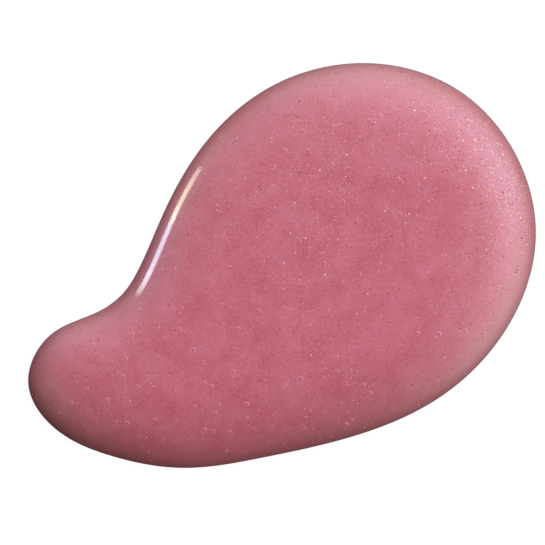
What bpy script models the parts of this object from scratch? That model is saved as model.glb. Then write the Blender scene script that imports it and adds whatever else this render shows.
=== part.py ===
"""A poured pool of lip gloss: one comma-shaped pool of milky rose gel on its flat underside, and the
largest pigment grains and pearl flakes suspended in it, each in its own pocket just under the surface.

Metres, +Z up. The pool lies on Z = 0, with the origin under the middle of its length and width. X runs along
its length, from the poured tail at -X to the wide pool at +X.
"""

import math

import bmesh
import bpy
import numpy as np
from mathutils import Matrix, Vector
from mathutils.geometry import delaunay_2d_cdt

MM = 0.001

# The pool, in millimetres.
OUTLINE = [  # seen from above, counter-clockwise from the far right; a smooth curve runs through the points
    (17.0, 1.95), (15.65, 7.45), (11.9, 11.68), (5.7, 13.55), (-0.75, 11.98), (-5.1, 8.28),
    (-8.0, 3.38), (-9.55, -0.12), (-10.6, -1.8), (-12.25, -3.05), (-15.4, -4.55), (-17.0, -7.9),
    (-15.1, -11.0), (-11.65, -12.68), (-6.6, -13.55), (-1.4, -12.88), (5.1, -11.33), (10.3, -9.0),
    (14.45, -5.1),
]
LEVEL = 2.6  # the depth that the middle of the pool levels out at
WAIST = 0.35  # height of the widest line, where the bulging edge stands out furthest
FOOT_INSET = 0.22  # how far the edge tucks in under the waist before it meets the surface below
EDGE_RUN = 2.6  # how far inland the surface goes on rising
EDGE_FULLNESS = 1.15  # 1 is a plain exponential edge; more makes it stand up rounder at the rim
RIM_POINTS = 120
RIM_ROWS = (0.1, 0.35, 0.8, 1.45, 2.3)  # mesh rows on the rounded edge, as distances in from the rim
GRID = 1.25  # spacing of the mesh points further in

# What is suspended in the gel, in millimetres.
PROUD = 0.015  # the flakes' top faces break the surface by this much
CLEARANCE = 0.02  # between a flake or grain and its pocket, all round
POCKET_SIDES = 12
POCKET_REACH = 0.3  # how far the pocket cutters run out past the surface
FLAKE_THICKNESS = 0.03
RED_GRAIN, GOLD_FLAKE, PEARL_FLAKE, VIOLET_FLAKE = 0.16, 0.11, 0.12, 0.1  # usual widths
GOLDEN_ANGLE = math.radians(137.5)  # turns each flake differently from the one before

RED_GRAINS = [
    (6.2, 7.95), (6.45, 5.95), (1.45, 6.7), (10.25, 2.05), (11.5, -0.05), (4.1, -1.2), (6.4, -3.15),
    (3.0, -4.6), (7.6, -6.7), (-3.85, -1.55), (-3.05, -9.15), (-2.3, -6.2), (12.4, 0.8), (6.65, 4.0),
]
GOLD_FLAKES = [
    (13.3, 7.7), (13.85, 6.5), (15.3, 5.4), (14.4, 8.1), (14.9, 6.9), (14.55, 5.8), (13.6, 4.6), (12.2, 6.3),
    (12.8, 8.35), (12.4, 9.7), (2.5, 6.3), (4.4, 6.5), (9.45, 5.8), (3.7, 1.7), (1.85, 1.2),
]
PEARL_FLAKES = [
    (12.0, 8.3), (0.85, 4.15), (4.3, 7.35), (6.8, 3.6), (8.4, 3.4), (1.55, 1.8), (0.55, 2.15), (2.85, -0.6),
    (12.65, 5.15), (13.55, 1.05), (8.8, 10.3), (0.15, 0.15),
]
VIOLET_FLAKES = [
    (12.2, 6.85), (14.1, 7.25), (14.0, 5.35), (15.5, 4.9), (1.25, 5.75), (9.05, 5.35), (-8.75, -8.95),
    (5.0, -7.05),
]


def clear_scene():
    for item in list(bpy.data.objects):
        bpy.data.objects.remove(item, do_unlink=True)


def linear(hex_colour):
    """A hex sRGB colour as the linear RGBA that shaders take."""
    channels = [int(hex_colour[i:i + 2], 16) / 255 for i in (1, 3, 5)]
    return [c / 12.92 if c <= 0.04045 else ((c + 0.055) / 1.055) ** 2.4 for c in channels] + [1.0]


def finish(name, hex_colour, roughness, metallic=0.0):
    material = bpy.data.materials.new(name)
    material.use_nodes = True
    shader = material.node_tree.nodes["Principled BSDF"]
    shader.inputs["Base Color"].default_value = linear(hex_colour)
    shader.inputs["Roughness"].default_value = roughness
    shader.inputs["Metallic"].default_value = metallic
    material.diffuse_color = linear(hex_colour)
    return material


def add_object(name, bm, material):
    """Turns a bmesh in millimetres into an object in metres."""
    bmesh.ops.scale(bm, vec=(MM, MM, MM), verts=bm.verts)
    bmesh.ops.recalc_face_normals(bm, faces=bm.faces)
    mesh = bpy.data.meshes.new(name)
    bm.to_mesh(mesh)
    bm.free()
    mesh.materials.append(material)
    item = bpy.data.objects.new(name, mesh)
    bpy.context.scene.collection.objects.link(item)
    return item


def smooth_loop(points, steps=40):
    """A closed curve through the points whose bend changes without a jump: a periodic cubic spline."""
    points = np.array(points)
    count = len(points)
    spans = np.linalg.norm(np.roll(points, -1, axis=0) - points, axis=1)
    system, right = np.zeros((count, count)), np.zeros((count, 2))
    for i in range(count):
        before, after, following = spans[i - 1], spans[i], (i + 1) % count
        system[i, i - 1], system[i, i], system[i, following] = after, 2 * (before + after), before
        right[i] = 3 * after / before * (points[i] - points[i - 1])
        right[i] += 3 * before / after * (points[following] - points[i])
    slopes = np.linalg.solve(system, right)
    t = np.linspace(0, 1, steps, endpoint=False)[:, None]
    parts = []
    for i in range(count):
        following = (i + 1) % count
        parts.append(
            (2 * t**3 - 3 * t**2 + 1) * points[i]
            + (t**3 - 2 * t**2 + t) * spans[i] * slopes[i]
            + (3 * t**2 - 2 * t**3) * points[following]
            + (t**3 - t**2) * spans[i] * slopes[following]
        )
    return np.concatenate(parts)


def even_loop(loop, count):
    """The same closed curve with its points spaced evenly, and its box centred on the origin."""
    closed = np.vstack([loop, loop[:1]])
    along = np.concatenate([[0], np.cumsum(np.linalg.norm(np.diff(closed, axis=0), axis=1))])
    at = np.linspace(0, along[-1], count, endpoint=False)
    even = np.column_stack([np.interp(at, along, closed[:, k]) for k in (0, 1)])
    return even - (even.min(axis=0) + even.max(axis=0)) / 2


def inward(loop):
    """The unit normals of a counter-clockwise loop, pointing into it."""
    ahead = np.roll(loop, -1, axis=0) - np.roll(loop, 1, axis=0)
    ahead /= np.linalg.norm(ahead, axis=1)[:, None]
    return np.column_stack([-ahead[:, 1], ahead[:, 0]])


def rim_distance(points, rim):
    """How far the points are from the rim: the true distance close to it, evening out smoothly inland. Each
    straight piece of the rim adds the integral of 1 / r^3 along it, which for an endless line is 2 / r^2."""
    ahead = np.roll(rim, -1, axis=0) - rim
    length = np.linalg.norm(ahead, axis=1)
    ahead = ahead / length[:, None]
    offset = points[:, None] - rim[None]
    along = (offset * ahead).sum(axis=2)
    aside = np.abs(offset[..., 0] * ahead[:, 1] - offset[..., 1] * ahead[:, 0])
    aside = np.maximum(aside, 0.001)
    ends = (length - along) / np.hypot(length - along, aside) + along / np.hypot(along, aside)
    return np.sqrt(2 / (ends / aside**2).sum(axis=1))


def surface_height(points, rim):
    """Height of the pool's top surface: a full, round edge that levels out inland, as surface tension makes."""
    rise = 1 - np.exp(-EDGE_FULLNESS * rim_distance(np.atleast_2d(points), rim) / EDGE_RUN)
    return WAIST + (LEVEL - WAIST) * rise ** (1 / EDGE_FULLNESS)


def surface_frame(x, y, rim):
    """A matrix, in millimetres, that stands on the surface at x, y with its Z along the surface's normal."""
    step = 0.05
    here, right, up = surface_height([(x, y), (x + step, y), (x, y + step)], rim)
    normal = Vector((here - right, here - up, step)).normalized()
    turn = Vector((0, 0, 1)).rotation_difference(normal).to_matrix().to_4x4()
    return Matrix.Translation((x, y, here)) @ turn


def inland_grid(rim, margin):
    """Points on a triangular grid that are further than margin from the rim, inside it."""
    spacing = np.arange(-20, 20, GRID)
    x, y = np.meshgrid(spacing, spacing * math.sqrt(3) / 2)
    x[::2] += GRID / 2
    points = np.column_stack([x.ravel(), y.ravel()])
    after = np.roll(rim, -1, axis=0)
    crosses = (rim[:, 1] > points[:, 1:]) != (after[:, 1] > points[:, 1:])
    run = (after[:, 0] - rim[:, 0]) / (after[:, 1] - rim[:, 1] + 1e-12)
    inside = (crosses & (points[:, :1] < rim[:, 0] + run * (points[:, 1:] - rim[:, 1]))).sum(axis=1) % 2 == 1
    points = points[inside]
    nearest = np.linalg.norm(points[:, None] - rim[None], axis=2).min(axis=1)
    return points[nearest > margin]


def pool_mesh(rim):
    """The top surface is triangulated between the rim, rows that follow it and an inland grid. Below the waist
    two more rings tuck in to the flat underside, which is one face."""
    towards = inward(rim)
    rows = [rim + towards * d for d in RIM_ROWS]
    flat = np.concatenate([rim, *rows, inland_grid(rim, RIM_ROWS[-1] + GRID * 0.6)])
    loop = list(range(len(rim)))
    edges = list(zip(loop, loop[1:] + loop[:1]))
    corners, _, faces, *_ = delaunay_2d_cdt([Vector(p) for p in flat], edges, [], 1, 1e-6)
    flat = np.array([(c.x, c.y) for c in corners])
    heights = surface_height(flat, rim)
    heights[:len(rim)] = WAIST
    bm = bmesh.new()
    top = [bm.verts.new((x, y, z)) for (x, y), z in zip(flat, heights)]
    for face in faces:
        bm.faces.new([top[i] for i in face])
    tuck = [rim + towards * FOOT_INSET * (1 - math.sqrt(1 - part**2)) for part in (0.6, 1.0)]
    rings = [top[:len(rim)]]
    for ring, part in zip(tuck, (0.6, 1.0)):
        rings.append([bm.verts.new((x, y, WAIST * (1 - part))) for x, y in ring])
    for above, below in zip(rings, rings[1:]):
        for i, j in edges:
            bm.faces.new([above[i], below[i], below[j], above[j]])
    bm.faces.new(rings[-1])
    return bm


def platelet(frame, across, turn):
    """A mica flake: a thin six-sided plate, a little longer one way, lying along the surface."""
    bm = bmesh.new()
    bmesh.ops.create_cone(
        bm, cap_ends=True, segments=6, radius1=across / 2, radius2=across / 2, depth=FLAKE_THICKNESS
    )
    bmesh.ops.scale(bm, vec=(1.0, 0.82, 1.0), verts=bm.verts)
    settle = Matrix.Translation((0, 0, PROUD - FLAKE_THICKNESS / 2)) @ Matrix.Rotation(turn, 4, "Z")
    bmesh.ops.transform(bm, matrix=frame @ settle, verts=bm.verts)
    return bm


def grain(frame, across, turn):
    """A grain of red pigment: a rounded lump, flatter than it is wide."""
    bm = bmesh.new()
    bmesh.ops.create_icosphere(bm, subdivisions=1, radius=across / 2)
    bmesh.ops.scale(bm, vec=(1.0, 0.86, 0.6), verts=bm.verts)
    settle = Matrix.Translation((0, 0, PROUD - 0.3 * across)) @ Matrix.Rotation(turn, 4, "Z")
    bmesh.ops.transform(bm, matrix=frame @ settle, verts=bm.verts)
    return bm


def add_pocket(cutter, frame, across, depth):
    """Adds to the cutter the round pocket that a flake or grain lies in, open to the surface."""
    low, high = PROUD - depth - CLEARANCE, POCKET_REACH
    made = bmesh.ops.create_cone(
        cutter,
        cap_ends=True,
        segments=POCKET_SIDES,
        radius1=(across / 2 + CLEARANCE) / math.cos(math.pi / POCKET_SIDES),
        radius2=(across / 2 + CLEARANCE) / math.cos(math.pi / POCKET_SIDES),
        depth=high - low,
    )
    lift = Matrix.Translation((0, 0, (high + low) / 2))
    bmesh.ops.transform(cutter, matrix=frame @ lift, verts=made["verts"])


def add_inclusions(name, places, shape, size, depth, material, rim, cutter):
    """One object at each place, with sizes from 0.85 to 1.15 of the usual one, and its pocket in the cutter."""
    for number, (x, y) in enumerate(places, start=1):
        frame = surface_frame(x, y, rim)
        across = size * (1 + 0.15 * math.sin(number * 2.4))
        add_object(f"{name}_{number:02d}", shape(frame, across, number * GOLDEN_ANGLE), material)
        add_pocket(cutter, frame, across, depth(across))


def add_pool(rim, cutter_bm):
    gel = finish("rose_gloss", "#C46F80", 0.12)
    pool = add_object("gloss_pool", pool_mesh(rim), gel)
    pool.data.shade_smooth()
    pool.data.set_sharp_from_angle(angle=math.radians(40))
    cutter = add_object("pocket_cutter", cutter_bm, gel)
    cutter.hide_render = True
    cutter.display_type = "WIRE"
    pockets = pool.modifiers.new("pockets", "BOOLEAN")
    pockets.operation = "DIFFERENCE"
    pockets.solver = "EXACT"
    pockets.object = cutter


def build():
    clear_scene()
    rim = even_loop(smooth_loop(OUTLINE), RIM_POINTS)
    cutter = bmesh.new()
    red = finish("red_pigment", "#B8403C", 0.5)
    gold = finish("gold_mica", "#E8C79A", 0.25, 0.4)
    pearl = finish("pearl_mica", "#F0E4E6", 0.25, 0.2)
    violet = finish("violet_mica", "#9C6FC0", 0.25, 0.3)
    add_inclusions("red_pigment_grain", RED_GRAINS, grain, RED_GRAIN, lambda w: 0.6 * w, red, rim, cutter)
    for name, places, size, material in (
        ("gold_flake", GOLD_FLAKES, GOLD_FLAKE, gold),
        ("pearl_flake", PEARL_FLAKES, PEARL_FLAKE, pearl),
        ("violet_flake", VIOLET_FLAKES, VIOLET_FLAKE, violet),
    ):
        add_inclusions(name, places, platelet, size, lambda w: FLAKE_THICKNESS, material, rim, cutter)
    add_pool(rim, cutter)


build()
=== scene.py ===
"""A poured pool of shimmering rose lip gloss, lying on a white table.

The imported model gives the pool's outline and depth and the places of its largest flakes and grains. This
script makes the gel's fine surface, its bubbles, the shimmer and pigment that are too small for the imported
model, and the soft light that the pool is seen in.
"""
import math

import bmesh
import bpy
import numpy as np
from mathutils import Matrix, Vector
from mathutils.geometry import delaunay_2d_cdt


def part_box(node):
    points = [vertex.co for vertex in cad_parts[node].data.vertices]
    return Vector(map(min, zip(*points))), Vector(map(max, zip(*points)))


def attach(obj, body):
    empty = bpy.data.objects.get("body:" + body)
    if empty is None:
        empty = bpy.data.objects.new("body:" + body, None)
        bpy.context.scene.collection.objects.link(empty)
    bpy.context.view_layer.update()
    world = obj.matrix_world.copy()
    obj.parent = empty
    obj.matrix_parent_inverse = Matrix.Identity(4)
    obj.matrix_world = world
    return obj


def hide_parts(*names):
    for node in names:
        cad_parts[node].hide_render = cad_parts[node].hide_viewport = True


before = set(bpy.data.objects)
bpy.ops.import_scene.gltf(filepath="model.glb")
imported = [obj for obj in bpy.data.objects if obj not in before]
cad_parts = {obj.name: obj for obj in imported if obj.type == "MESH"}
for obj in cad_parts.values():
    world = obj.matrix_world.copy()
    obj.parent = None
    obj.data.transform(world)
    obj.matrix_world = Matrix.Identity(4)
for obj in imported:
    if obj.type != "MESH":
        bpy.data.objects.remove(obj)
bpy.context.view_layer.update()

# ----------------------------------------------------------------------------------------------------------
# The gel: one body of oil and polybutene, milky with mica dust too fine to see. It is poured, and its
# surface tension rounds off the edge, levels out the middle and tucks the foot in where it wets the table.

MM = 0.001
WAIST = 0.35 * MM  # height of the widest line
FOOT_INSET = 0.22 * MM  # how far the foot tucks in under the waist
EDGE_RUN = 2.6 * MM  # how far inland the surface goes on rising
EDGE_FULLNESS = 1.15  # 1 is a plain exponential edge; more stands up rounder at the rim
RIM_POINTS = 600
RIM_ROWS = [d * MM for d in (  # how far in from the rim the rows of the mesh lie that follow it
    0.03, 0.08, 0.15, 0.24, 0.35, 0.47, 0.6, 0.74, 0.89, 1.05, 1.22, 1.4, 1.6, 1.8, 2.0,
)]
FOOT_ROWS = (0.25, 0.5, 0.75, 0.92, 1.0)  # rows between the waist and the table, as parts of the way down
GRID = 0.25 * MM  # mesh spacing further in
SHORE_GAP = 0.6 * GRID  # how near the grid may come to the innermost row along the rim
CREASE = math.radians(60)  # edges sharper than this stay sharp in the shading


def waist_loop(node):
    """The pool's widest line, counter-clockwise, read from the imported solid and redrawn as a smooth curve."""
    points = np.array([v.co for v in node.data.vertices])
    flat = np.unique(np.round(points[np.abs(points[:, 2] - WAIST) < 1e-6, :2], 7), axis=0)
    left = list(range(1, len(flat)))
    order = [0]
    while left:
        nearest = min(left, key=lambda i: np.hypot(*(flat[i] - flat[order[-1]])))
        left.remove(nearest)
        order.append(nearest)
    loop = flat[order] @ (1, 1j)
    if (loop.conj() * np.roll(loop, -1)).imag.sum() < 0:
        loop = loop[::-1]
    waves = np.fft.fft(loop) / len(loop)
    rates = np.fft.fftfreq(len(loop), 1 / len(loop))
    at = np.arange(RIM_POINTS) / RIM_POINTS
    fine = (waves * np.exp(2j * math.pi * rates * at[:, None])).sum(axis=1)
    fine = np.column_stack([fine.real, fine.imag])
    small, large = flat.min(axis=0), flat.max(axis=0)
    return small + (fine - fine.min(axis=0)) / np.ptp(fine, axis=0) * (large - small)


def inward(loop):
    """The unit normals of a counter-clockwise loop, pointing into it."""
    ahead = np.roll(loop, -1, axis=0) - np.roll(loop, 1, axis=0)
    ahead /= np.linalg.norm(ahead, axis=1)[:, None]
    return np.column_stack([-ahead[:, 1], ahead[:, 0]])


def rim_distance(points):
    """How far in from the rim the points are: true close to it, evening out smoothly inland. Each straight
    piece of the rim adds the integral of 1 / r^3 along it, which for an endless line is 2 / r^2."""
    ahead = np.roll(rim, -1, axis=0) - rim
    length = np.linalg.norm(ahead, axis=1)
    ahead = ahead / length[:, None]
    distance = []
    for block in np.array_split(points, max(1, len(points) // 2000)):
        offset = block[:, None] - rim[None]
        along = (offset * ahead).sum(axis=2)
        aside = np.abs(offset[..., 0] * ahead[:, 1] - offset[..., 1] * ahead[:, 0])
        aside = np.maximum(aside, 0.001 * MM)
        ends = (length - along) / np.hypot(length - along, aside) + along / np.hypot(along, aside)
        distance.append(np.sqrt(2 / (ends / aside**2).sum(axis=1)))
    return np.concatenate(distance)


def rise(points):
    """How far up between the waist and the level the surface is, from 0 to almost 1."""
    return (1 - np.exp(-EDGE_FULLNESS * rim_distance(points) / EDGE_RUN)) ** (1 / EDGE_FULLNESS)


def inside(points, loop):
    """Which points lie inside a loop: those that have an odd number of its sides to the right of them."""
    count = np.zeros(len(points), int)
    for a, b in zip(loop, np.roll(loop, -1, axis=0)):
        level = (a[1] > points[:, 1]) != (b[1] > points[:, 1])
        lean = (b[0] - a[0]) / (b[1] - a[1] + 1e-15)
        count += level & (points[:, 0] < a[0] + lean * (points[:, 1] - a[1]))
    return count % 2 == 1


def inland_points(shore):
    """A triangular grid of points inside the shore, none of them close to it."""
    span = np.arange(low.x, high.x, GRID)
    grid_x, grid_y = np.meshgrid(span, span * math.sqrt(3) / 2)
    grid_x[::2] += GRID / 2
    points = np.column_stack([grid_x.ravel(), grid_y.ravel()])
    points = points[inside(points, shore)]
    blocks = np.array_split(points, 40)
    near = [np.linalg.norm(block[:, None] - shore[None], axis=2).min(axis=1) for block in blocks]
    return points[np.concatenate(near) > SHORE_GAP]


def linear(hex_colour, alpha=1.0):
    """A hex sRGB colour as the linear RGBA that shaders take."""
    channels = [int(hex_colour[i:i + 2], 16) / 255 for i in (1, 3, 5)]
    return [c / 12.92 if c <= 0.04045 else ((c + 0.055) / 1.055) ** 2.4 for c in channels] + [alpha]


def add(tree, kind, settings=None, **inputs):
    """Adds a node. Settings are its own properties; inputs take a value, a hex colour or a node's output."""
    node = tree.nodes.new("ShaderNode" + kind)
    for name, value in (settings or {}).items():
        setattr(node, name, value)
    for name, value in inputs.items():
        key = int(name[1:]) if name[0] == "i" and name[1:].isdigit() else name.replace("_", " ")
        if isinstance(value, bpy.types.NodeSocket):
            tree.links.new(value, node.inputs[key])
        else:
            node.inputs[key].default_value = linear(value) if isinstance(value, str) else value
    return node


def new_material(name):
    """A new material and its node tree, which starts empty."""
    material = bpy.data.materials.new(name)
    material.use_nodes = True
    material.node_tree.nodes.clear()
    return material, material.node_tree


def link_object(name, data):
    """A new object in the scene that holds the given mesh, light or camera."""
    item = bpy.data.objects.new(name, data)
    bpy.context.scene.collection.objects.link(item)
    return item


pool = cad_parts["gloss_pool"]
low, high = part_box("gloss_pool")
rim = waist_loop(pool)
inner = inward(rim)
rows = [rim + inner * d for d in RIM_ROWS]
inland = inland_points(rows[-1])
flat = np.concatenate([rim, *rows, inland])
lift = rise(flat)
LEVEL = WAIST + (high.z - WAIST) / lift.max()
height = WAIST + (LEVEL - WAIST) * lift
height[:RIM_POINTS] = WAIST

bm = bmesh.new()
top = [bm.verts.new((x, y, z)) for (x, y), z in zip(flat, height)]
loop = list(range(RIM_POINTS))
edges = list(zip(loop, loop[1:] + loop[:1]))
rings = [top[i * RIM_POINTS:(i + 1) * RIM_POINTS] for i in range(len(rows) + 1)]
shore_and_inland = top[len(rows) * RIM_POINTS:]
corners = [v.co.to_2d() / MM for v in shore_and_inland]
faces = delaunay_2d_cdt(corners, edges, [], 1, 1e-6)[2]
for face in faces:
    bm.faces.new([shore_and_inland[i] for i in face])
for outer, further in zip(rings, rings[1:]):
    for i, j in edges:
        bm.faces.new([outer[i], outer[j], further[j], further[i]])
rings = [top[:RIM_POINTS]]
for part in FOOT_ROWS:
    tuck = rim + inner * FOOT_INSET * (1 - math.sqrt(1 - part**2))
    rings.append([bm.verts.new((x, y, WAIST * (1 - part))) for x, y in tuck])
for above, below in zip(rings, rings[1:]):
    for i, j in edges:
        bm.faces.new([above[i], below[i], below[j], above[j]])
bm.faces.new(rings[-1])
bmesh.ops.recalc_face_normals(bm, faces=bm.faces)
mesh = bpy.data.meshes.new("gloss_body")
bm.to_mesh(mesh)
bm.free()
from_rim = np.zeros(len(mesh.vertices))
from_rim[RIM_POINTS:len(flat)] = rim_distance(flat[RIM_POINTS:]) / MM
mesh.attributes.new("rim_mm", "FLOAT", "POINT").data.foreach_set("value", from_rim)
mesh.shade_smooth()
mesh.set_sharp_from_angle(angle=CREASE)
gel_body = link_object("gloss_body", mesh)

# Milky rose gel: carmine and iron oxide that never mix in quite evenly leave lazy swirls of deeper rose in
# the mauve, and mica haze makes it faintly grainy. Towards the rim the colour goes to a darker brown rose:
# painted shade for the steep edge that turns away from the light. Oil on top of it all gives the wet, sharp
# gloss.
DEEP_ROSE, MAUVE_PINK, EDGE_SHADE_COLOUR = "#B9455A", "#CD6E86", "#955158"
# in millimetres: how far in from the rim the painted shade at the edge fades
EDGE_SHADE_MM = 1.22
COLOURS = {"data_type": "RGBA"}  # the setting that makes a Mix node mix colours
STIRRED_ROUND = Vector((2.0, 1.0, 0.0)) * MM  # the middle of the swirls that the pour left
ARC_SPACING = 3.4 * MM  # from one swirl to the next
SWIRL, STREAK, HAZE = 2.6 * MM, 0.8 * MM, 0.15 * MM  # sizes of the lumps, the streaks and the haze's grain

material, tree = new_material("milky_rose_gel")
place = add(tree, "TexCoord").outputs["Object"]


def cloud(size, detail, distortion, place=place):
    """Noise whose lumps are about the given size, stretched so that it uses the range from 0 to 1."""
    noise = add(tree, "TexNoise", Vector=place, Scale=1 / size, Detail=detail, Distortion=distortion)
    spread = {"i1": 0.3, "i2": 0.7, "i3": 0.0, "i4": 1.0}
    return add(tree, "MapRange", i0=noise.outputs["Fac"], **spread).outputs[0]


def towards(azimuth, elevation):
    """The unit vector that points from the pool towards a direction given in degrees."""
    a, e = math.radians(azimuth), math.radians(elevation)
    return Vector((math.cos(a) * math.cos(e), math.sin(a) * math.cos(e), math.sin(e)))


def lobe(tree, way, azimuth, elevation, spread):
    """1 where a direction points at the given azimuth and elevation, falling off smoothly over the spread."""
    facing = add(tree, "VectorMath", {"operation": "DOT_PRODUCT"}, i0=way, i1=towards(azimuth, elevation))
    fall = add(tree, "Math", {"operation": "SUBTRACT"}, i0=facing.outputs["Value"], i1=1.0)
    fall = add(tree, "Math", {"operation": "DIVIDE"}, i0=fall.outputs[0], i1=math.radians(spread) ** 2)
    return add(tree, "Math", {"operation": "EXPONENT"}, i0=fall.outputs[0]).outputs[0]


def set_stops(ramp, stops):
    """Gives a colour ramp its stops: a position, a hex colour and, where there is one, an opacity."""
    for position, *_ in stops[1:-1]:
        ramp.elements.new(position)
    for element, (position, colour, *opacity) in zip(ramp.elements, stops):
        element.position = position
        element.color = linear(colour, *opacity)


swirl = cloud(SWIRL, 2, 1.6)
streak = cloud(STREAK, 2, 0.8)
haze = cloud(HAZE, 1, 0.0)
centred = add(tree, "VectorMath", {"operation": "SUBTRACT"}, i0=place, i1=STIRRED_ROUND)
arcs = add(tree, "TexWave", {"wave_type": "RINGS", "rings_direction": "Z"}, Vector=centred.outputs[0])
arcs.inputs["Scale"].default_value = 2 * math.pi / (20 * ARC_SPACING)
arcs.inputs["Distortion"].default_value = 10.0
arcs.inputs["Detail"].default_value = 2.0
arcs.inputs["Detail Scale"].default_value = 1.5
mixed = 0.0  # how far the rose turns to mauve, with each pattern's share in it
for pattern, share in ((swirl, 0.36), (arcs.outputs["Fac"], 0.16), (streak, 0.17), (haze, 0.35)):
    mixed = add(tree, "Math", {"operation": "MULTIPLY_ADD"}, i0=pattern, i1=share, i2=mixed).outputs[0]
rose = add(tree, "Mix", COLOURS, Factor=mixed, i6=DEEP_ROSE, i7=MAUVE_PINK).outputs[2]
rim_mm = add(tree, "Attribute", {"attribute_name": "rim_mm"}).outputs["Fac"]
# Painted shade: the colour darkens to a brown rose towards the rim, and fades out further in.
edge_shade = add(tree, "Math", {"operation": "MULTIPLY"}, i0=rim_mm, i1=-1 / EDGE_SHADE_MM)
edge_shade = add(tree, "Math", {"operation": "EXPONENT"}, i0=edge_shade.outputs[0])
colour = add(tree, "Mix", COLOURS, Factor=edge_shade.outputs[0], i6=rose, i7=EDGE_SHADE_COLOUR).outputs[2]

# Painted light: over the last millimetre, on the side that faces the main light only, the colour goes from a
# grey rose line at the very edge to a brick red one and then to beige, a painted tint of the lit edge that
# fades into the gel's own colour a millimetre in.
PAINTED_LIT_EDGE = (  # millimetres in from the rim, the colour there, and its share
    (0.0, "#987078", 0.35), (0.2, "#A47880", 0.45), (0.27, "#AC4C44", 0.5), (0.4, "#B06C54", 0.28),
    (0.8, "#C07E68", 0.24), (1.0, "#C07E68", 0.0),
)
LIT_EDGE = 28, 30, 38  # azimuth, elevation and spread in degrees of the way that the lit edge faces
facing = add(tree, "NewGeometry").outputs["Normal"]
# The painted light on the lit edge, by how far in from the rim.
clear = add(tree, "ValToRGB", i0=rim_mm)
set_stops(clear.color_ramp, PAINTED_LIT_EDGE)
lit = lobe(tree, facing, *LIT_EDGE)
lit = add(tree, "Math", {"operation": "MULTIPLY"}, i0=clear.outputs["Alpha"], i1=lit)
colour = add(tree, "Mix", COLOURS, Factor=lit.outputs[0], i6=colour, i7=clear.outputs["Color"]).outputs[2]

# Painted glints: where the surface leans so that flat flakes would throw the main light upwards, a fine
# speckle of pale pink is painted into the colour, a painted sparkle that stands in for mica too fine to be
# seen flake by flake.
GLINT = 27, 62, 8.5  # azimuth, elevation and spread in degrees of the way that such flakes face
PAINTED_GLINT_SIZE, PAINTED_GLINT_TINT, PAINTED_GLINT_SHARE = 0.09 * MM, "#DEA8DC", 0.5
painted_glint = add(tree, "Math", {"operation": "POWER"}, i0=cloud(PAINTED_GLINT_SIZE, 1, 0.0), i1=2.0)
painted_glint = add(tree, "Math", {"operation": "MULTIPLY"}, i0=painted_glint.outputs[0], i1=PAINTED_GLINT_SHARE)
painted_glint = add(tree, "Math", {"operation": "MULTIPLY"}, i0=painted_glint.outputs[0], i1=lobe(tree, facing, *GLINT))
colour = add(tree, "Mix", COLOURS, Factor=painted_glint.outputs[0], i6=colour, i7=PAINTED_GLINT_TINT).outputs[2]
tilts = add(tree, "Bump", Strength=0.25, Distance=0.02 * MM, Height=haze)
gel = add(tree, "BsdfPrincipled", Base_Color=colour, Normal=tilts.outputs[0], Roughness=0.4)
gel.inputs["IOR"].default_value = 1.5
gel.inputs["Specular IOR Level"].default_value = 0.76
gel.inputs["Specular Tint"].default_value = linear("#FFEEFF")
gel.inputs["Subsurface Weight"].default_value = 0.25
gel.inputs["Subsurface Radius"].default_value = (1.0, 0.4, 0.3)
gel.inputs["Subsurface Scale"].default_value = 0.5 * MM
gel.inputs["Coat Weight"].default_value = 1.0
gel.inputs["Coat Roughness"].default_value = 0.04
gel.inputs["Coat IOR"].default_value = 1.5
add(tree, "OutputMaterial", Surface=gel.outputs[0])
mesh.materials.append(material)
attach(gel_body, "root")
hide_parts("gloss_pool")

# ----------------------------------------------------------------------------------------------------------
# Air bubbles: stirred in when the gloss was made and let out by the pour. They rise and stop under the
# surface, each lifting a low dome of gel with a painted highlight ring round a deeper red middle.

BUBBLE_WIDTHS = 0.26 * MM, 0.4 * MM
BUBBLE_GAP = 0.45 * MM  # no two middles are closer
FAINTEST = 0.3  # how clear the deepest bubble is
FAINTNESS = 1.1  # 1 makes faint and clear bubbles as common; more makes faint ones the more common
DOME_HEIGHT = 0.14  # of the bubble's radius
DOME_RINGS = (0.0, 0.14, 0.28, 0.4, 0.5, 0.6, 0.7, 0.8, 0.9, 1.0)
DOME_SIDES = 20
DOME_SUNK = 0.01 * MM  # how far the dome's closed underside lies below the gel's surface
BUBBLE_CLUSTERS = [  # x, y and spread in millimetres, and how many bubbles lie there
    (-10.5, -8.7, 1.9, 24), (-4.8, -9.0, 1.7, 22), (4.2, -8.8, 1.7, 20), (-6.5, -2.3, 2.0, 12),
    (-0.4, -10.0, 1.1, 8), (2.2, 9.8, 1.8, 8), (1.7, 1.7, 2.8, 14), (8.3, 3.3, 2.1, 15),
    (9.4, 10.2, 1.1, 10), (10.8, -4.3, 1.4, 9), (14.2, 1.0, 0.5, 4), (3.2, -5.6, 1.9, 5),
    (-9.9, -4.0, 1.0, 4),
]


def stand_on_gel(places):
    """Where places on the plan lie on the gel's surface, and the surface's normal there."""
    step = 0.02 * MM
    offsets = (0, 0), (step, 0), (0, step)
    here, right, up = [rise(places + offset) * (LEVEL - WAIST) for offset in offsets]
    normals = np.column_stack([here - right, here - up, np.full(len(places), step)])
    normals /= np.linalg.norm(normals, axis=1)[:, None]
    return np.column_stack([places, WAIST + here]), normals


def axes_on_gel(normals, turns):
    """For each normal, two axes across it, turned about it by the given angles."""
    first = np.cross(normals, (0.0, 1.0, 0.0))
    first /= np.linalg.norm(first, axis=1)[:, None]
    second = np.cross(normals, first)
    c, s = np.cos(turns)[:, None], np.sin(turns)[:, None]
    return first * c + second * s, second * c - first * s


def apart(places, gap):
    """The places that are further than the gap from every earlier one that is kept."""
    kept = []
    for place in places:
        if all(math.dist(place, other) > gap for other in kept):
            kept.append(place)
    return np.array(kept)


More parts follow.
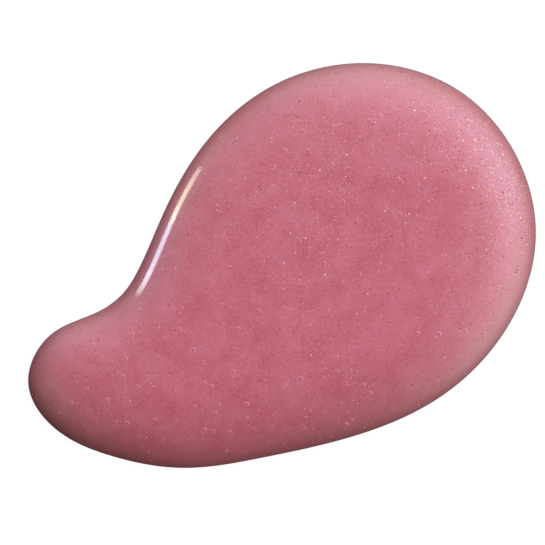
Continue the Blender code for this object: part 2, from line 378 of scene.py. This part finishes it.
random = np.random.default_rng(7)
places = np.concatenate([random.normal((x, y), s, (n, 2)) * MM for x, y, s, n in BUBBLE_CLUSTERS])
places = places[inside(places, rows[-7])]  # 0.89 mm in from the rim
places = apart(places, BUBBLE_GAP)
ground, normals = stand_on_gel(places)
first, second = axes_on_gel(normals, random.uniform(0, 2 * math.pi, len(places)))
radii = random.uniform(*BUBBLE_WIDTHS, len(places)) / 2
# How clear each bubble is: 1 just under the surface, and less the deeper it lies in the milk.
nearness = FAINTEST + (1 - FAINTEST) * random.uniform(size=len(places)) ** FAINTNESS
verts, faces, across = [], [], []
for centre, normal, u, v, radius, near in zip(ground, normals, first, second, radii, nearness):
    start = len(verts)
    verts.append(centre + normal * DOME_HEIGHT * near * radius)
    across.append(0.0)
    for r in DOME_RINGS[1:]:
        bulge = DOME_HEIGHT * near * radius * (1 - r * r) ** 1.5 - DOME_SUNK * r**8
        for k in range(DOME_SIDES):
            turn = 2 * math.pi * k / DOME_SIDES
            verts.append(centre + normal * bulge + (u * math.cos(turn) + v * math.sin(turn)) * radius * r)
            across.append(r)
    for k in range(DOME_SIDES):
        after = (k + 1) % DOME_SIDES
        faces.append((start, start + 1 + k, start + 1 + after))
        for ring in range(len(DOME_RINGS) - 2):
            inner_row, outer_row = start + 1 + ring * DOME_SIDES, start + 1 + (ring + 1) * DOME_SIDES
            faces.append((inner_row + k, outer_row + k, outer_row + after, inner_row + after))
    last = start + 1 + (len(DOME_RINGS) - 2) * DOME_SIDES
    faces.append([last + k for k in range(DOME_SIDES)])
mesh = bpy.data.meshes.new("air_bubbles")
mesh.from_pydata(verts, [], faces)
bm = bmesh.new()
bm.from_mesh(mesh)
bmesh.ops.recalc_face_normals(bm, faces=bm.faces)
bm.to_mesh(mesh)
bm.free()
mesh.attributes.new("dome", "FLOAT", "POINT").data.foreach_set("value", across)
near_values = np.repeat(nearness, len(across) // len(places))
mesh.attributes.new("near", "FLOAT", "POINT").data.foreach_set("value", near_values)
mesh.shade_smooth()
mesh.set_sharp_from_angle(angle=CREASE)
bubbles = link_object("air_bubbles", mesh)

# Gel over an air bubble: through the thin dome the eye sees past the milk into clear red gel. Round it a
# pale mauve ring is a painted highlight for the light that the bubble's wall catches, fading into the
# rose outside.
BUBBLE_RED, BUBBLE_RING_HIGHLIGHT, ROUND_BUBBLE = "#C23A38", "#CD829C", "#C45B73"
BUBBLE_COLOURS = (  # part of the dome's radius, and the colour there
    (0.25, BUBBLE_RED), (0.45, ROUND_BUBBLE), (0.64, BUBBLE_RING_HIGHLIGHT), (0.76, BUBBLE_RING_HIGHLIGHT), (0.97, ROUND_BUBBLE),
)
material, tree = new_material("gel_over_air_bubble")
dome = add(tree, "Attribute", {"attribute_name": "dome"}).outputs["Fac"]
ringed = add(tree, "ValToRGB", i0=dome)
set_stops(ringed.color_ramp, BUBBLE_COLOURS)
near = add(tree, "Attribute", {"attribute_name": "near"}).outputs["Fac"]
colour = add(tree, "Mix", COLOURS, Factor=near, i6=ROUND_BUBBLE, i7=ringed.outputs[0]).outputs[2]
film = add(tree, "BsdfPrincipled", Base_Color=colour, Roughness=0.4)
film.inputs["IOR"].default_value = 1.5
film.inputs["Coat Weight"].default_value = 1.0
film.inputs["Coat Roughness"].default_value = 0.04
film.inputs["Coat IOR"].default_value = 1.5
add(tree, "OutputMaterial", Surface=film.outputs[0])
mesh.materials.append(material)
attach(bubbles, "root")

# ----------------------------------------------------------------------------------------------------------
# Mica shimmer: natural mica split into platelets 0.03 to 0.1 mm across and coated with titanium dioxide,
# whose thickness sets its colour: pearl white, gold, or violet. They lie nearly flat, and the deeper ones
# are veiled by the milk above them.

PLATE_THICKNESS = 0.012 * MM
PLATE_SIDES = 6
COAT_DRIFT = 0.15 * MM  # over which a coat's thickness, and so its colour, changes
PLATE_TILT = 6  # degrees that a platelet may lean from lying flat
PROUD = 0.006 * MM  # how far a platelet's upper face stands above the gel, so that it shows
EVERYWHERE = 0.45  # how dense the shimmer is outside its clouds, in the same measure as theirs
SHIMMER_CLOUDS = [  # x, y and spread in millimetres, and how much denser the shimmer is there
    (2.0, 3.0, 3.8, 4.0), (3.3, 6.8, 2.0, 3.0), (10.0, 9.4, 2.2, 2.5), (1.5, -7.0, 3.2, 1.5),
    (-4.0, 5.0, 2.0, 2.0),
]
EXTRA_FLAKES_FOR_GLINT = 46.0  # how much denser the shimmer is put where flakes would throw the main light upwards: extra flakes that stand in for the glints there


def scatter(count, clouds, glint, margin):
    """Random places on the gel, none within the margin of the rim: denser in the clouds and, if glint is over
    0, also where the surface leans as a flake does that throws the main light upwards."""
    chosen = np.empty((0, 2))
    peak = 1 + sum(extra for *_, extra in clouds) + glint
    while len(chosen) < count:
        places = random.uniform((low.x, low.y), (high.x, high.y), (4000, 2))
        places = places[inside(places, rim)]
        places = places[rim_distance(places) > margin]
        weight = np.full(len(places), EVERYWHERE)
        for x, y, spread, extra in clouds:
            squared = ((places / MM - (x, y)) ** 2).sum(axis=1)
            weight += extra * np.exp(-squared / (2 * spread**2))
        if glint:
            facing = stand_on_gel(places)[1] @ towards(*GLINT[:2])
            weight += glint * np.exp((facing - 1) / math.radians(GLINT[2]) ** 2)
        places = places[random.uniform(0, peak, len(places)) < weight]
        chosen = np.concatenate([chosen, places])
    return chosen[:count]


def platelets(name, places, widths, veils):
    """Thin six-sided plates with uneven corners, one at each place, each leaning its own way."""
    count = len(places)
    ground, normals = stand_on_gel(places)
    lean = np.tan(np.radians(PLATE_TILT)) * random.uniform(-1, 1, (count, 2))
    first, second = axes_on_gel(normals, random.uniform(0, 2 * math.pi, count))
    normals = normals + first * lean[:, :1] + second * lean[:, 1:]
    normals /= np.linalg.norm(normals, axis=1)[:, None]
    first, second = axes_on_gel(normals, random.uniform(0, 2 * math.pi, count))
    corner = np.arange(PLATE_SIDES) / PLATE_SIDES * 2 * math.pi
    corner = corner + random.uniform(-0.25, 0.25, (count, PLATE_SIDES))
    reach = widths[:, None] / 2 * random.uniform(0.75, 1.1, (count, PLATE_SIDES))
    slim = random.uniform(0.65, 1.0, (count, 1))
    x, y = reach * np.cos(corner), reach * np.sin(corner) * slim
    ring = x[..., None] * first[:, None] + y[..., None] * second[:, None]
    upper = (ground + normals * PROUD)[:, None] + ring
    lower = (ground + normals * (PROUD - PLATE_THICKNESS))[:, None] + ring
    verts = np.concatenate([upper, lower], axis=1).reshape(-1, 3)
    n = PLATE_SIDES
    shape = [tuple(range(n)), tuple(range(2 * n - 1, n - 1, -1))]
    shape += [(k, n + k, n + (k + 1) % n, (k + 1) % n) for k in range(n)]
    faces = [[plate * 2 * n + i for i in face] for plate in range(count) for face in shape]
    return suspended(name, verts, faces, np.repeat(veils, 2 * n))


def suspended(name, verts, faces, veils):
    """One object of many loose pieces, with how far the gel over each one veils it."""
    mesh = bpy.data.meshes.new(name)
    mesh.from_pydata(verts.tolist(), [], faces)
    bm = bmesh.new()
    bm.from_mesh(mesh)
    bmesh.ops.recalc_face_normals(bm, faces=bm.faces)
    bm.to_mesh(mesh)
    bm.free()
    mesh.attributes.new("veil", "FLOAT", "POINT").data.foreach_set("value", veils)
    return link_object(name, mesh)


def mica(name, pale, deep, roughness):
    """Coated mica: its colour drifts between two tints as the coat's thickness does, every 0.15 mm or so.
    That is drawn a little coarser than the growth steps of real mica, which are too fine to show."""
    material, tree = new_material(name)
    place = add(tree, "TexCoord").outputs["Object"]
    drift = add(tree, "TexNoise", Vector=place, Scale=1 / COAT_DRIFT, Detail=2).outputs["Fac"]
    drift = add(tree, "MapRange", i0=drift, i1=0.35, i2=0.65, i3=0.0, i4=1.0).outputs[0]
    veil = add(tree, "Attribute", {"attribute_name": "veil"}).outputs["Fac"]
    coat = add(tree, "Mix", COLOURS, Factor=drift, i6=pale, i7=deep).outputs[2]
    colour = add(tree, "Mix", COLOURS, Factor=veil, i6=coat, i7=VEIL).outputs[2]
    flake = add(tree, "BsdfPrincipled", Base_Color=colour, Roughness=roughness)
    flake.inputs["IOR"].default_value = 1.6
    flake.inputs["Metallic"].default_value = 0.15
    add(tree, "OutputMaterial", Surface=flake.outputs[0])
    return material


AT_THE_SURFACE = 0.06  # the share of the platelets that no gel veils
LEAST_SHOWN, MEAN_EXTRA_SHOWN = 0.05, 0.32  # how much of a platelet's own colour comes through the gel
VEIL = "#C8667C"  # the colour of the milky gel that lies over a deep flake
SHIMMER = [  # kind, slot, pale and deep tint, how many, least and greatest width in millimetres
    ("pearl", "pearl_mica", "#ECE6E4", "#E4CCD2", 2300, 0.045, 0.09),
    ("gold", "gold_mica", "#F2E2BC", "#ECB884", 1050, 0.045, 0.09),
    ("violet", "violet_mica", "#B4B0F6", "#CCA0EC", 650, 0.045, 0.08),
]
for kind, slot, pale, deep, count, least, most in SHIMMER:
    places = scatter(count, SHIMMER_CLOUDS, EXTRA_FLAKES_FOR_GLINT, 0.25 * MM)
    widths = random.uniform(least, most, count) * MM
    veils = 1 - np.clip(LEAST_SHOWN + random.exponential(MEAN_EXTRA_SHOWN, count), 0, 1)
    veils[random.uniform(size=count) < AT_THE_SURFACE] = 0
    shimmer = platelets(kind + "_mica_shimmer", places, widths, veils)
    material = mica(kind + "_coated_mica", pale, deep, 0.35)
    shimmer.data.materials.append(material)
    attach(shimmer, "root")
    for name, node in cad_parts.items():
        if name.startswith(kind + "_flake"):
            node.material_slots[0].material = material

# ----------------------------------------------------------------------------------------------------------
# Pigment: carmine and iron oxide, milled to a maroon dust of single grains, and here and there a red or
# orange clump that the mill missed. The grains are wetted by the gel and matt.

GRAIN_SIDES = 7
GRAIN_RISE, GRAIN_SUNK = 0.12, 0.03  # parts of its width: half its thickness, and how deep its middle lies
GRAIN_BLUNT = 0.6  # how wide its blunt top and bottom are, as a part of its width
GRAIN_HOLLOWS = 0.03 * MM  # the size of the hollows in its surface
MOST_VEILED = 0.75  # of the gel's colour over the deepest grains
PIGMENTS = [  # piece, body colour, painted shade in its hollows, how many, least and greatest width in millimetres, least veil
    ("maroon_pigment_dust", "#A62A38", "#801828", 3200, 0.05, 0.1, 0.0),
    ("red_pigment_specks", "#C83C30", "#A42C28", 300, 0.08, 0.17, 0.1),
    ("orange_pigment_specks", "#EC7C50", "#D86440", 240, 0.05, 0.1, 0.1),
]


def grains(name, places, widths, veils):
    """Low uneven lumps, one at each place: a ring of corners with a blunt top and bottom."""
    count = len(places)
    ground, normals = stand_on_gel(places)
    first, second = axes_on_gel(normals, random.uniform(0, 2 * math.pi, count))
    corner = np.arange(GRAIN_SIDES) / GRAIN_SIDES * 2 * math.pi
    reach = widths[:, None] / 2 * random.uniform(0.7, 1.1, (count, GRAIN_SIDES))
    x, y = reach * np.cos(corner), reach * np.sin(corner)
    ring = x[..., None] * first[:, None] + y[..., None] * second[:, None]
    thick = GRAIN_RISE * widths[:, None, None] * normals[:, None]
    base = (ground - normals * GRAIN_SUNK * widths[:, None])[:, None]
    blunt = base + ring * GRAIN_BLUNT
    verts = np.concatenate([base + ring, blunt + thick, blunt - thick], axis=1)
    n = GRAIN_SIDES
    shape = [tuple(range(n, 2 * n)), tuple(range(3 * n - 1, 2 * n - 1, -1))]
    for k in range(n):
        after = (k + 1) % n
        shape += [(k, after, n + after, n + k), (after, k, 2 * n + k, 2 * n + after)]
    faces = [[lump * 3 * n + i for i in face] for lump in range(count) for face in shape]
    return suspended(name, verts.reshape(-1, 3), faces, np.repeat(veils, 3 * n))


def pigment(name, body, hollow_shade):
    """A milled mineral grain: matt, with painted shade that makes it a little darker in its hollows, which are
    up to half its width.
    """
    material, tree = new_material(name)
    place = add(tree, "TexCoord").outputs["Object"]
    rough = add(tree, "TexNoise", Vector=place, Scale=1 / GRAIN_HOLLOWS, Detail=3)
    veil = add(tree, "Attribute", {"attribute_name": "veil"}).outputs["Fac"]
    # Painted shade: the low parts of the bump take the darker colour.
    bare = add(tree, "Mix", COLOURS, Factor=rough.outputs["Fac"], i6=hollow_shade, i7=body).outputs[2]
    colour = add(tree, "Mix", COLOURS, Factor=veil, i6=bare, i7=VEIL).outputs[2]
    bump = add(tree, "Bump", Strength=0.3, Distance=0.005 * MM, Height=rough.outputs["Fac"])
    grain = add(tree, "BsdfPrincipled", Base_Color=colour, Normal=bump.outputs[0], Roughness=0.6)
    grain.inputs["IOR"].default_value = 1.5
    grain.inputs["Specular IOR Level"].default_value = 0.15
    add(tree, "OutputMaterial", Surface=grain.outputs[0])
    return material


for piece, body, hollow_shade, count, least, most, least_veil in PIGMENTS:
    places = scatter(count, [], 0.0, 0.1 * MM)
    widths = random.uniform(least, most, count) * MM
    veils = random.uniform(least_veil, MOST_VEILED, count)
    lumps = grains(piece, places, widths, veils)
    material = pigment(piece, body, hollow_shade)
    lumps.data.materials.append(material)
    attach(lumps, "root")
    if piece == "red_pigment_specks":
        for name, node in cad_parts.items():
            if name.startswith("red_pigment_grain"):
                node.material_slots[0].material = material

# ----------------------------------------------------------------------------------------------------------
# The table: a plain white sheet, lit evenly from below its surface as well, so that it stays white up to the
# pool's edge and throws nothing back onto it.

TABLE_REACH = 1.5
TABLE_BELOW = 0.02 * MM  # how far it lies under the gel's foot, so that the two faces never meet
SHEET_GREY, SHEET_GLOW = (0.1, 0.1, 0.1, 1), 0.93  # what it reflects, and how strongly it is lit from below

bm = bmesh.new()
bmesh.ops.create_grid(bm, x_segments=1, y_segments=1, size=TABLE_REACH)
mesh = bpy.data.meshes.new("table")
bm.to_mesh(mesh)
bm.free()
table = link_object("table", mesh)
table.location.z = -TABLE_BELOW
material, tree = new_material("white_acrylic_sheet")
glow = add(tree, "Emission", Color=(1, 1, 1, 1), Strength=SHEET_GLOW)
sheet = add(tree, "BsdfDiffuse", Color=SHEET_GREY)
both = add(tree, "AddShader", i0=glow.outputs[0], i1=sheet.outputs[0])
add(tree, "OutputMaterial", Surface=both.outputs[0])
mesh.materials.append(material)
for ray in ("diffuse", "glossy", "transmission", "shadow"):
    setattr(table, "visible_" + ray, False)

# ----------------------------------------------------------------------------------------------------------
# The light: a wide arc of soft light round the right and far sides, darker towards the near left, and a small
# strip light close to the left that draws the one crisp line along the inner curve.

scene = bpy.context.scene
scene.view_settings.view_transform = "Standard"
SOFT_LIGHTS = [  # azimuth, elevation and spread in degrees, red, green and blue strength
    (89, 26, 26, 1.93, 1.93, 1.93), (30, 35, 25, 1.8, 1.8, 1.8), (333, 18, 20, 1.88, 1.84, 1.8),
    (351, 42, 16, 1.1, 0.96, 0.88), (141, 26, 18, 0.54, 0.46, 0.54), (188, 46, 21, 0.42, 0.44, 0.34),
    (218, 34, 24, 0.02, 0.22, 0.12),
]

world = bpy.data.worlds.new("studio")
scene.world = world
world.use_nodes = True
tree = world.node_tree
tree.nodes.clear()
way = add(tree, "TexCoord").outputs["Generated"]
total = (0.0, 0.0, 0.0)
for azimuth, elevation, spread, *strength in SOFT_LIGHTS:
    part = lobe(tree, way, azimuth, elevation, spread)
    total = add(tree, "VectorMath", {"operation": "MULTIPLY_ADD"}, i0=part, i1=strength, i2=total).outputs[0]
seen = add(tree, "LightPath").outputs["Is Camera Ray"]
soft = add(tree, "Background", Color=total, Strength=1.0)
plain = add(tree, "Background", Color=(1, 1, 1, 1), Strength=1.0)
either = add(tree, "MixShader", i0=seen, i1=soft.outputs[0], i2=plain.outputs[0])
add(tree, "OutputWorld", Surface=either.outputs[0])

# The strip light: a small softbox, cream at one end and lavender at the other. It stands over one place on
# the inner curve and is aimed at another a little further on, so that its line fades evenly at both ends.
STRIP_OVER, STRIP_AIM = Vector((-6.6, 3.8, 1.0)) * MM, Vector((-6.2, 4.5, 1.0)) * MM
STRIP_AZIMUTH, STRIP_ELEVATION, STRIP_DISTANCE = 153, 16, 40 * MM
STRIP_WIDE, STRIP_TALL, STRIP_SPREAD = 16 * MM, 8 * MM, 22
STRIP_WATTS = 1.15e-4
STRIP_TINTS = (  # how far along the strip, and the tint of its diffuser there
    (0.0, "#FFFFF0"), (0.12, "#DCE4CA"), (0.5, "#C6CAA8"), (0.66, "#D8ECE4"), (0.8, "#CCD3EC"),
    (0.93, "#CCD3EC"), (1.0, "#000000"),
)
strip_data = bpy.data.lights.new("strip_light", "AREA")
strip_data.shape = "RECTANGLE"
strip_data.size, strip_data.size_y = STRIP_WIDE, STRIP_TALL
strip_data.spread = math.radians(STRIP_SPREAD)
strip_data.energy = STRIP_WATTS
strip_data.use_nodes = True
tree = strip_data.node_tree
along = add(tree, "SeparateXYZ", i0=add(tree, "NewGeometry").outputs["Parametric"]).outputs[0]
tints = add(tree, "ValToRGB", i0=along)
set_stops(tints.color_ramp, STRIP_TINTS)
tree.links.new(tints.outputs[0], tree.nodes["Emission"].inputs["Color"])
strip = link_object("strip_light", strip_data)
strip.location = STRIP_OVER + towards(STRIP_AZIMUTH, STRIP_ELEVATION) * STRIP_DISTANCE
strip.rotation_euler = (strip.location - STRIP_AIM).to_track_quat("Z", "Y").to_euler()
strip.visible_camera = False

# ----------------------------------------------------------------------------------------------------------
# The camera: straight above the pool, far enough away to see it without perspective.

LENS, SENSOR = 200, 36
VIEW_X, VIEW_Y, VIEW_WIDTH = -0.636 * MM, -0.469 * MM, 36.48 * MM
camera_data = bpy.data.cameras.new("camera")
camera_data.lens, camera_data.sensor_width = LENS, SENSOR
camera_data.clip_start, camera_data.clip_end = 0.01, 10
camera = link_object("camera", camera_data)
camera.location = (VIEW_X, VIEW_Y, VIEW_WIDTH * LENS / SENSOR + WAIST)
scene.camera = camera
